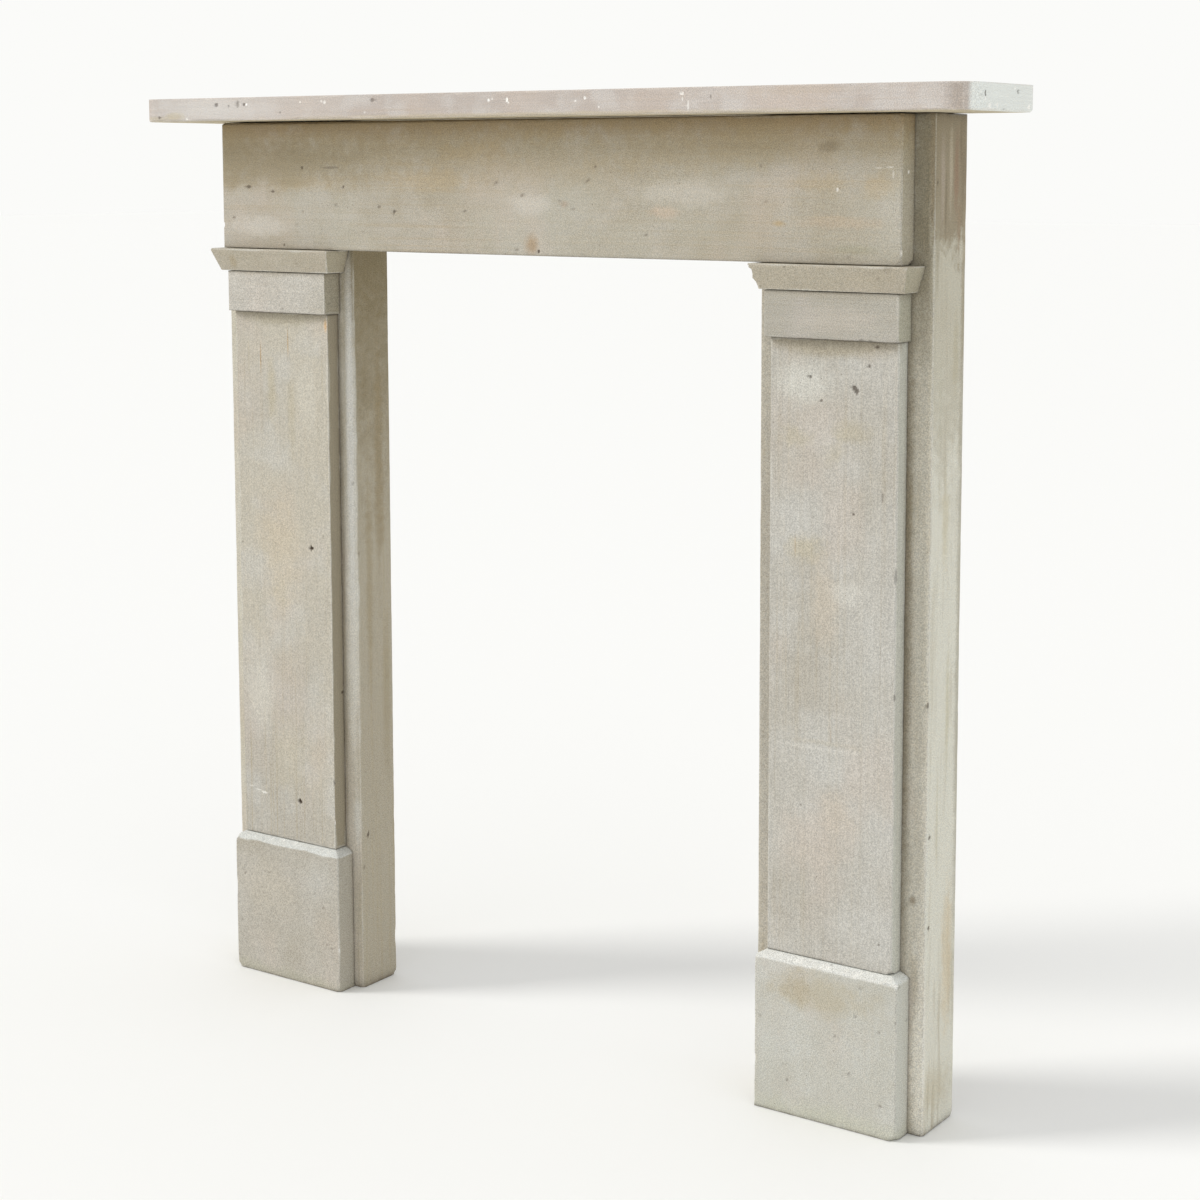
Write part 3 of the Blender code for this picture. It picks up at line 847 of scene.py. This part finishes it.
jambRightLook = {
    **jambLook, "name": "jambRight", "node": "jamb_block_right", "finish": "jambRightSandstone",
    "seed": 8, "shift": (6.4, 1.0, 3.1), "streakShare": 0.85, "streakWidth": 0.01, "streakLength": 0.12,
    # the outer side is painted paler and cooler, as lit from the right
    "combShare": 0.02, "faceLightAndTones": (faceLightAndTone((1, 0, 0), (214, 212, 199), 0.88),),
    "grimeAndShadeAt": ((2, 0.0, 0.003), (2, 1.1887, 0.003)),
    "rubs": (rubbing((0.5445, 0.0035, 0.4), (1, -1, 0), 0.001, 0.0006),),
    "marks": (
        # a dark strip beside the shaft: painted shadow of the shaft; next, the front strip's top painted
        # darker, shade under the shelf with dirt
        stain((0.5135, 0.0035, 0.6), (0.014, 0.008, 0.8), (120, 108, 84), 0.75, 0.8, 0.95),
        stain((0.535, 0.0035, 1.1), (0.04, 0.012, 0.28), (128, 120, 98), 0.8, 0.8),
        # the top of the outer face is painted darker as the shelf's shadow; lower down, pale and brown
        # streaks
        *stains(jambOuter, 0.01, (
            (0.04, 1.1, 0.2, 0.42, (182, 176, 158), 0.75, 1.6, 0.6),
            (0.04, 1.17, 0.2, 0.15, (148, 137, 115), 0.95, 1.6, 0.35),
        )),
        *stains(jambOuter, 0.006, (
            # darker by the back edge at the top: painted shade under the shelf
            (0.074, 1.12, 0.014, 0.11, (128, 114, 92), 0.6, 1.8, 1.0),
            (0.042, 1.13, 0.006, 0.06, (186, 176, 156), 0.55, 1.8),
            (0.03, 1.09, 0.004, 0.05, (126, 114, 92), 0.6, 1.8),
            (0.066, 1.15, 0.005, 0.04, (124, 108, 86), 0.5, 1.8, 1.0),
            (0.024, 0.88, 0.005, 0.09, (186, 182, 164), 0.6, 2.0),
            (0.06, 0.92, 0.01, 0.06, (180, 172, 148), 0.6, 2.0),
            (0.052, 0.5, 0.006, 0.1, (192, 186, 160), 0.6, 2.0),
            (0.03, 0.38, 0.004, 0.08, (190, 184, 160), 0.5, 2.0),
            (0.035, 0.05, 0.06, 0.04, (184, 174, 148), 0.5, 1.8),
            (0.079, 1.0, 0.009, 0.15, (158, 146, 122), 0.75, 1.8),
            (0.056, 1.12, 0.009, 0.06, (146, 122, 100), 0.75, 1.6),
            (0.064, 1.06, 0.006, 0.05, (150, 130, 106), 0.55, 1.8),
            (0.022, 1.12, 0.008, 0.07, (172, 160, 146), 0.6, 1.8),
            (0.012, 1.05, 0.008, 0.09, (156, 148, 128), 0.6, 1.6),
            (0.079, 0.6, 0.012, 0.62, (166, 160, 144), 0.65, 1.8),
            (0.04, 0.72, 0.014, 0.07, (192, 182, 150), 0.45, 1.8),
            (0.06, 0.2, 0.018, 0.11, (202, 184, 150), 0.5, 2.2),
        )),
        stain((0.527, 0.0035, 0.283), (0.008, 0.01, 0.009), (124, 108, 84), 0.65, 1.4),
        *stains(jambFront, 0.008, (
            (0.331, 0.6, 0.03, 0.8, (166, 161, 150), 0.85),
            (0.538, 0.08, 0.016, 0.18, (226, 222, 210), 0.95),
        )),
        stain((0.531, 0.0035, 0.225), (0.006, 0.01, 0.022), (206, 203, 192), 0.55, 1.6),
        stain((0.535, 0.0035, 0.6), (0.01, 0.008, 0.42), (184, 180, 166), 0.45, 1.4),
    ),
    "chips": (
        knock((0.5445, 0.0035, 0.5158), (1, -1, 0), 0.005, 0.002, "dark"),
        knock((0.5445, 0.0119, 0.3585), (1, 0, 0), 0.003, 0.0012, "dark"),
        knock((0.5445, 0.0128, 0.2507), (1, 0, 0), 0.003, 0.0012, "dark"),
        knock((0.5445, 0.0815, 0.5), (1, 1, 0), 0.018, 0.0012, "none"),
        knock((0.5445, 0.0815, 0.7), (1, 1, 0), 0.016, 0.001, "none"),
        knock((0.5445, 0.0035, 0.0), (1, -1, -1), 0.01, 0.003, "none"),
        knock((0.5445, 0.0815, 0.0), (1, 1, -1), 0.012, 0.004, "none"),
    ),
}
cutStone(jambLeftLook)
cutStone(jambRightLook)

# plinths: square foot blocks with a chamfered top, coarser in grain than the rest
plinthFront = (1, -0.0283, (0, -1, 0))
plinthLook = {
    "slot": "plinth_stone", "step": (0.003, 0.0035, 0.003), "lines": ((), (), (0.1885, 0.1905)),
    "chamferRise": 0.0075, "sideStep": 0.012, "frontStep": 0.009, "arrisRound": 0.0016,
    "bedRound": 0.001, "arrisWear": 0.0018, "wearSize": 0.03, "pitsPerSquareMetre": 420.0,
    "pitWidth": 0.0034, "pitDepth": 0.0007, "tone": (174, 169, 158), "paleTone": (184, 180, 172),
    "darkTone": (165, 158, 143), "grainSize": 0.0013, "grainShare": 0.25, "tintShare": 0.16,
    "speckMany": 0.3, "streakShare": 0.1, "combShare": 0.0,
    # the chamfers are painted paler, as lit from above; the right side is painted darker, as in shade
    "faceLightAndTones": (
        faceLightAndTone((0, -0.62, 0.78), (208, 210, 206), 0.8), faceLightAndTone((1, 0, 0), (158, 152, 136), 0.5),
        faceLightAndTone((0.53, 0, 0.85), (204, 206, 202), 0.7), faceLightAndTone((-0.53, 0, 0.85), (212, 214, 208), 0.7),
    ),
}


def chamferTop(points, low, high, look):
    # the top is drawn in to the shaft's outline over a rise that wavers as a worn edge does
    rise = look["chamferRise"]
    middle = (low[0] + high[0]) / 2
    flatPoints = points * np.array([1, 1, 0])
    broad, fine = drift(flatPoints, 0.03, look["seed"]), drift(flatPoints, 0.011, 7)
    height = rise * (1 + 0.22 * broad + 0.14 * fine)
    up = np.clip((points[:, 2] - (high[2] - height)) / height, 0, 1) ** 1.2
    half = (high[0] - low[0]) / 2
    points[:, 0] = middle + (points[:, 0] - middle) * (half - look["sideStep"] * up) / half
    depth = high[1] - low[1]
    points[:, 1] = high[1] + (points[:, 1] - high[1]) * (depth - look["frontStep"] * up) / depth


plinthLeftLook = {
    **plinthLook, "name": "plinthLeft", "node": "plinth_left", "finish": "plinthLeftSandstone",
    "seed": 11, "shift": (2.4, 4.0, 1.1),
    "grimeAndShadeAt": ((2, 0.0, 0.002), (1, 0.0032, 0.0016), (2, 0.198, 0.001)),
    "marks": (
        stain((-0.43, -0.0283, 0.0), (0.3, 0.1, 0.022), (170, 168, 148), 0.4, 1.4),
        *stains(plinthFront, 0.05, (
            (-0.47, 0.13, 0.08, 0.05, (184, 176, 160), 0.4, 1.6),
            (-0.37, 0.15, 0.04, 0.04, (188, 188, 182), 0.3, 2.4),
        )),
    ),
    "chips": (
        knock((-0.44, -0.0215, 0.1965), (0, -0.6, 0.8), 0.004, 0.0008, "pale", 0.35),
        knock((-0.462, -0.0235, 0.1946), (0, -0.6, 0.8), 0.003, 0.0008, "pale", 0.3),
        knock((-0.418, -0.0215, 0.1965), (0, -0.6, 0.8), 0.004, 0.0008, "pale", 0.25),
        knock((-0.525, -0.0283, 0.0), (-1, -1, -1), 0.012, 0.005, "none"),
        knock((-0.333, -0.0283, 0.0), (1, -1, -1), 0.01, 0.004, "none"),
        knock((-0.5255, -0.0283, 0.1905), (-1, -0.6, 1), 0.01, 0.004, "pale", 0.3),
        knock((-0.333, -0.0283, 0.06), (1, -1, 0), 0.004, 0.0016, "pale", 0.6),
        knock((-0.333, -0.0283, 0.02), (1, -1, 0), 0.006, 0.002, "none"),
        knock((-0.333, -0.0283, 0.12), (1, -1, 0), 0.005, 0.0016, "none"),
    ),
}
plinthRightLook = {
    **plinthLook, "name": "plinthRight", "node": "plinth_right", "finish": "plinthRightSandstone",
    "seed": 12, "shift": (5.4, 1.7, 9.1),
    "grimeAndShadeAt": ((2, 0.0, 0.002), (1, 0.0032, 0.0016), (2, 0.196, 0.0009)), "tone": (189, 187, 179),
    "paleTone": (195, 196, 191), "darkTone": (181, 179, 169),
    # the chamfers are painted paler, as lit from above; the right side is painted paler, as lit from the
    # right
    "faceLightAndTones": (
        faceLightAndTone((0, -0.62, 0.78), (216, 216, 211), 0.8), faceLightAndTone((0.53, 0, 0.85), (226, 228, 224), 0.85),
        faceLightAndTone((-0.53, 0, 0.85), (214, 215, 208), 0.7), faceLightAndTone((1, 0, 0), (200, 200, 190), 0.6),
    ),
    "marks": (
        *stains(plinthFront, 0.05, (
            (0.425, 0.156, 0.1, 0.034, (176, 168, 148), 0.75, 2.0),
            (0.39, 0.158, 0.034, 0.026, (170, 158, 134), 0.45, 2.0),
        )),
        stain((0.43, -0.0283, 0.0), (0.3, 0.1, 0.03), (186, 186, 168), 0.45, 1.4),
        stain((0.35, -0.0283, 0.06), (0.02, 0.05, 0.06), (188, 190, 182), 0.35, 1.6),
    ),
    "chips": (
        knock((0.5255, -0.0283, 0.0), (1, -0.6, -1), 0.018, 0.0065, "none"),
        knock((0.5255, -0.0283, 0.1885), (1, -1, 0.8), 0.01, 0.003, "pale", 0.5),
        knock((0.333, -0.0283, 0.1885), (-1, -1, 1), 0.009, 0.003, "none"),
        knock((0.333, -0.0283, 0.06), (-1, -1, 0), 0.008, 0.0024, "none"),
        knock((0.43, -0.0262, 0.1905), (0, -0.6, 0.8), 0.006, 0.0008, "pale", 0.25),
        knock((0.392, -0.0262, 0.1905), (0, -0.6, 0.8), 0.005, 0.0008, "pale", 0.2),
        knock((0.47, -0.027, 0.1895), (0, -0.6, 0.8), 0.004, 0.0008, "pale", 0.25),
        knock((0.505, -0.0283, 0.04), (0, -1, 0), 0.0034, 0.0012, "dark", 0.3),
    ),
}
cutStone(plinthLeftLook, chamferTop)
cutStone(plinthRightLook, chamferTop)

# shafts: the pilasters' flat panels, with upright streaks on the left one and tide lines on the right
shaftFront = (1, -0.0193, (0, -1, 0))
brown, rust = (176, 167, 144), (170, 142, 104)
shaftLook = {
    "slot": "shaft_stone", "step": (0.003, 0.0035, 0.0032), "arrisRound": 0.0009, "bedRound": 0.0005,
    "arrisWear": 0.0009, "pitsPerSquareMetre": 60.0, "pitWidth": 0.003, "tone": (183, 180, 172),
    "paleTone": (192, 191, 186), "darkTone": (174, 169, 158), "streakShare": 0.35, "streakWidth": 0.004,
}
shaftLeftLook = {
    **shaftLook, "name": "shaftLeft", "node": "shaft_left", "finish": "shaftLeftSandstone", "seed": 15,
    "shift": (4.4, 2.2, 6.1), "tone": (183, 177, 163), "streakShare": 0.6, "streakWidth": 0.003,
    "combShare": 0.04, "grainShare": 0.23, "tintShare": 0.14,
    "grimeAndShadeAt": ((2, 0.1983, 0.001), (2, 0.9323, 0.0013), (1, 0.0032, 0.0022)),
    # the right side is painted dark, as in shade beside the jamb
    "faceLightAndTones": (faceLightAndTone((1, 0, 0), (148, 139, 119), 0.92),),
    "marks": (
        *stains(shaftFront, 0.05, (
            (-0.448, 0.83, 0.012, 0.06, brown, 0.6, 1.4), (-0.412, 0.79, 0.01, 0.08, brown, 0.45, 1.4),
            (-0.44, 0.6, 0.05, 0.11, (192, 180, 156), 0.45, 1.8),
            (-0.43, 0.32, 0.04, 0.08, (184, 176, 156), 0.45, 1.8),
            (-0.385, 0.83, 0.024, 0.06, (200, 196, 184), 0.35, 2.4),
            (-0.48, 0.4, 0.04, 0.08, (206, 204, 194), 0.45, 1.8),
        )),
        *stains(shaftFront, 0.02, (
            (-0.4678, 0.868, 0.0018, 0.026, rust, 0.75, 0.8),
            (-0.4172, 0.892, 0.0016, 0.026, rust, 0.65, 0.8),
            (-0.49, 0.87, 0.0014, 0.04, brown, 0.55, 0.8), (-0.356, 0.85, 0.0014, 0.07, brown, 0.5, 0.8),
            (-0.5, 0.264, 0.008, 0.0018, (216, 214, 206), 0.5, 0.6),
            (-0.489, 0.2608, 0.009, 0.0018, (216, 214, 206), 0.6, 0.6),
            (-0.4775, 0.2585, 0.009, 0.0024, (218, 216, 208), 0.7, 0.8),
        )),
        stain((-0.3485, -0.02, 0.918), (0.0042, 0.006, 0.013), (198, 162, 116), 0.75, 0.8),
        # a band of painted shadow under the neck block
        stain((-0.429, -0.0193, 0.9323), (0.12, 0.02, 0.021), (165, 157, 137), 0.75, 0.8, 0.55),
    ),
    "chips": (
        *chips(shaftFront, "dark", (
            (-0.3804, 0.6135, 0.0026, 0.0026, 0.95),
            (-0.4094, 0.2557, 0.0024, 0.0026, 0.95, (1, 1, 1.5)),
        )),
        *chips(shaftFront, "pale", (
            (-0.475, 0.258, 0.003, 0.0004, 0.3, (2, 1, 1)),
            (-0.425, 0.249, 0.003, 0.0004, 0.25, (2, 1, 1)),
        )),
        knock((-0.345, -0.0193, 0.292), (1, -1, 0), 0.005, 0.0024, "dark", 0.35),
        knock((-0.345, -0.0193, 0.236), (1, -1, 0), 0.004, 0.0014),
        knock((-0.345, 0.0, 0.415), (1, 0, 0), 0.003, 0.0014, "dark"),
    ),
}
shaftRightLook = {
    **shaftLook, "name": "shaftRight", "node": "shaft_right", "finish": "shaftRightSandstone",
    "seed": 16, "shift": (8.4, 5.2, 2.1), "streakShare": 0.35, "arrisRound": 0.0011, "combShare": 0.045,
    "grainShare": 0.23, "tintShare": 0.14,
    "grimeAndShadeAt": ((2, 0.1963, 0.001), (2, 0.9323, 0.0013), (1, 0.0032, 0.0022)),
    # the right side is painted paler, as lit from the right
    "faceLightAndTones": (faceLightAndTone((1, 0, 0), (194, 194, 183), 0.85),),
    "rubs": (rubbing((0.5135, -0.0193, 0.5), (1, -1, 0), 0.0011, 0.0005),),
    "marks": (
        *stains(shaftFront, 0.05, (
            (0.38, 0.818, 0.034, 0.018, brown, 0.5, 2.2), (0.45, 0.826, 0.036, 0.018, brown, 0.5, 2.2),
            (0.43, 0.8, 0.024, 0.022, brown, 0.4, 2.2),
            (0.39, 0.69, 0.036, 0.024, (182, 172, 146), 0.5, 2.2),
            (0.42, 0.63, 0.024, 0.08, (192, 180, 162), 0.45, 2.0),
            (0.45, 0.64, 0.03, 0.02, (208, 206, 198), 0.4, 1.8),
            (0.435, 0.375, 0.034, 0.036, (190, 179, 163), 0.38, 2.2),
            (0.4, 0.34, 0.05, 0.06, (188, 176, 162), 0.35, 1.8),
            (0.39, 0.88, 0.05, 0.035, (206, 206, 198), 0.5, 1.8),
        )),
        *stains(shaftFront, 0.02, (
            (0.42, 0.452, 0.095, 0.0046, (208, 205, 197), 0.42, 2.2),
            (0.42, 0.459, 0.095, 0.006, (178, 171, 155), 0.4, 2.2),
            (0.494, 0.62, 0.0016, 0.17, (174, 168, 156), 0.5, 1.0),
            (0.365, 0.62, 0.0018, 0.18, (180, 172, 156), 0.3, 1.0),
            (0.38, 0.69, 0.0012, 0.022, rust, 0.4, 0.8), (0.43, 0.47, 0.001, 0.016, rust, 0.4, 0.8),
            # the band under the neck block is painted shadow
            (0.43, 0.9323, 0.12, 0.026, (160, 151, 131), 0.8, 0.8, 0.55),
        )),
    ),
    "chips": (
        knock((0.4565, -0.0193, 0.8785), (0, -1, 0), 0.0036, 0.002, "dark"),
        knock((0.4595, -0.0193, 0.875), (0, -1, 0), 0.0034, 0.002, "dark"),
        *chips(shaftFront, "dark", (
            (0.3988, 0.8883, 0.0024, 0.0014, 0.6), (0.4136, 0.8614, 0.0022, 0.0014, 0.55),
            (0.4757, 0.9038, 0.0022, 0.0014, 0.5), (0.4572, 0.7326, 0.002, 0.0012, 0.6),
            (0.4856, 0.9265, 0.0024, 0.0014, 0.6), (0.396, 0.889, 0.002, 0.001, 0.4),
            (0.4944, 0.7554, 0.0016, 0.0008, 0.3, (1, 1, 5)), (0.39, 0.38, 0.002, 0.001, 0.35),
            (0.496, 0.23, 0.002, 0.001, 0.4),
        )),
        knock((0.5135, -0.0193, 0.665), (1, -1, 0), 0.004, 0.0024, "dark", 0.35, (1, 1, 3)),
        knock((0.5135, -0.0193, 0.525), (1, -1, 0), 0.0036, 0.002, "dark", 0.45, (1, 1, 2)),
        knock((0.5135, -0.0193, 0.1963), (1, -0.5, -1), 0.014, 0.005, "none"),
        knock((0.345, -0.0193, 0.82), (-1, -1, 0), 0.005, 0.0016, "none"),
    ),
}
cutStone(shaftLeftLook)
cutStone(shaftRightLook)

# neck blocks: the plain course over each shaft
neckFront = (1, -0.0283, (0, -1, 0))
neckLook = {
    "slot": "neck_stone", "step": (0.003, 0.0035, 0.003), "arrisRound": 0.0008, "bedRound": 0.0005,
    "arrisWear": 0.0008, "combShare": 0.04, "grainShare": 0.27, "wornShare": 0.2, "pitWidth": 0.003,
    "streakUp": False, "streakWidth": 0.003, "tone": (184, 179, 169), "paleTone": (192, 189, 182),
    "darkTone": (174, 169, 156), "streakShare": 0.25,
    "grimeAndShadeAt": ((2, 0.9326, 0.0007), (2, 0.9876, 0.0014), (1, 0.0032, 0.002)),
}
neckLeftLook = {
    **neckLook, "name": "neckLeft", "node": "neck_block_left", "finish": "neckLeftSandstone", "seed": 19,
    # the right side is painted dark, as in shade
    "shift": (3.3, 1.2, 0.1), "faceLightAndTones": (faceLightAndTone((1, 0, 0), (152, 145, 126), 0.92),),
    "marks": (
        # painted shadow under the cap along the neck's top
        stain((-0.43, -0.0283, 0.9876), (0.15, 0.05, 0.01), (170, 162, 144), 0.45),
    ),
    "chips": (
        knock((-0.341, -0.0283, 0.9326), (1, -1, -1), 0.006, 0.0024, "none"),
        knock((-0.48, -0.0283, 0.9326), (0, -1, -1), 0.004, 0.0012, "none"),
    ),
}
neckRightLook = {
    **neckLook, "name": "neckRight", "node": "neck_block_right", "finish": "neckRightSandstone",
    "seed": 20, "shift": (7.3, 2.2, 4.1), "tone": (173, 169, 159), "paleTone": (182, 176, 170),
    # the right side is painted cooler and greener, as lit from the right
    "darkTone": (165, 160, 148), "faceLightAndTones": (faceLightAndTone((1, 0, 0), (168, 165, 147), 0.88),),
    "marks": (
        *stains(neckFront, 0.05, (
            # painted shadow under the cap along the neck's top
            (0.43, 0.9876, 0.15, 0.012, (166, 158, 140)),
            (0.43, 0.955, 0.08, 0.022, (190, 181, 170), 0.35, 2.2),
        )),
    ),
    "chips": (
        knock((0.47, -0.0283, 0.9326), (0, -1, -1.4), 0.005, 0.0026, "dark", 0.2),
        knock((0.4815, -0.0283, 0.9326), (0, -1, -1.4), 0.0044, 0.0022, "dark", 0.2),
        knock((0.425, -0.0283, 0.9326), (0, -1, -1.4), 0.004, 0.0014, "none"),
        knock((0.5173, -0.0283, 0.9326), (1, -1, -1), 0.008, 0.003, "none"),
        knock((0.5173, -0.0283, 0.9876), (1, -1, 1), 0.006, 0.002, "none"),
    ),
}
cutStone(neckLeftLook)
cutStone(neckRightLook)

# caps: splayed from a narrow foot up to a thin square lip
capLook = {
    "slot": "cap_stone", "step": (0.003, 0.003, 0.0022), "lines": ((), (), (1.0154,)), "lip": 0.003,
    "sideSplay": 0.009, "frontSplay": 0.0115, "leftCurve": 1.0, "rightCurve": 1.0, "arrisRound": 0.0008,
    "bedRound": 0.0006, "arrisWear": 0.0012, "tone": (174, 166, 149), "paleTone": (183, 177, 164),
    "darkTone": (165, 156, 138), "streakShare": 0.25, "streakUp": False, "streakWidth": 0.003,
    "combShare": 0.02, "grainShare": 0.26, "pitsPerSquareMetre": 300.0, "pitWidth": 0.0026,
    "grimeAndShadeAt": ((2, 0.9879, 0.0012), (1, 0.0032, 0.002)), "wornShare": 0.45,
}


def splayCap(points, low, high, look):
    rise = high[2] - low[2] - look["lip"]
    down = 1 - np.clip((points[:, 2] - low[2]) / rise, 0, 1)
    middle, half = (low[0] + high[0]) / 2, (high[0] - low[0]) / 2
    curve = np.where(points[:, 0] < middle, look["leftCurve"], look["rightCurve"])
    points[:, 0] = middle + (points[:, 0] - middle) * (half - look["sideSplay"] * down ** curve) / half
    depth = high[1] - low[1]
    points[:, 1] = high[1] + (points[:, 1] - high[1]) * (depth - look["frontSplay"] * down) / depth


capLeftLook = {
    **capLook, "name": "capLeft", "node": "cap_left", "finish": "capLeftSandstone", "seed": 23,
    # the right splay is painted darker, as in shade
    "shift": (1.3, 6.2, 2.1), "faceLightAndTones": (faceLightAndTone((0.96, 0, -0.29), (164, 156, 135), 0.9),),
    "marks": (
        stain((-0.5, -0.04, 1.0), (0.01, 0.03, 0.014), (160, 146, 118), 0.55, 1.4),
    ),
    "chips": (
        knock((-0.5365, -0.0418, 1.0184), (-1, -1, 1), 0.005, 0.002, "pale", 0.2),
        knock((-0.325, -0.0418, 1.016), (1, -1, 0), 0.004, 0.0016, "pale", 0.3),
    ),
}
capRightLook = {
    **capLook, "name": "capRight", "node": "cap_right", "finish": "capRightSandstone", "seed": 24,
    "shift": (9.3, 3.2, 5.1), "leftCurve": 1.2,
    # the right splay is painted darker, as in shade
    "faceLightAndTones": (faceLightAndTone((0.96, 0, -0.29), (164, 158, 138), 0.9),),
    "marks": (
        stain((0.47, -0.04, 1.0), (0.06, 0.03, 0.014), (176, 166, 146), 0.4, 1.6),
    ),
    "chips": (
        knock((0.325, -0.0418, 1.0184), (-1, -0.6, 0.5), 0.007, 0.002, "pale", 0.3),
        knock((0.33, -0.037, 1.005), (-1, -0.6, 0), 0.005, 0.0009, "none"),
        knock((0.335, -0.0325, 0.993), (-1, -1, -0.5), 0.005, 0.001, "none"),
        knock((0.5335, -0.0418, 1.0184), (1, -1, 1), 0.006, 0.0024, "pale", 0.3),
        knock((0.524, -0.0303, 0.9879), (1, -1, -1), 0.006, 0.002, "none"),
        knock((0.51, -0.04, 1.013), (0, -1, 0), 0.005, 0.001, "dark", 0.15),
    ),
}
cutStone(capLeftLook, splayCap)
cutStone(capRightLook, splayCap)
print("all stones cut")
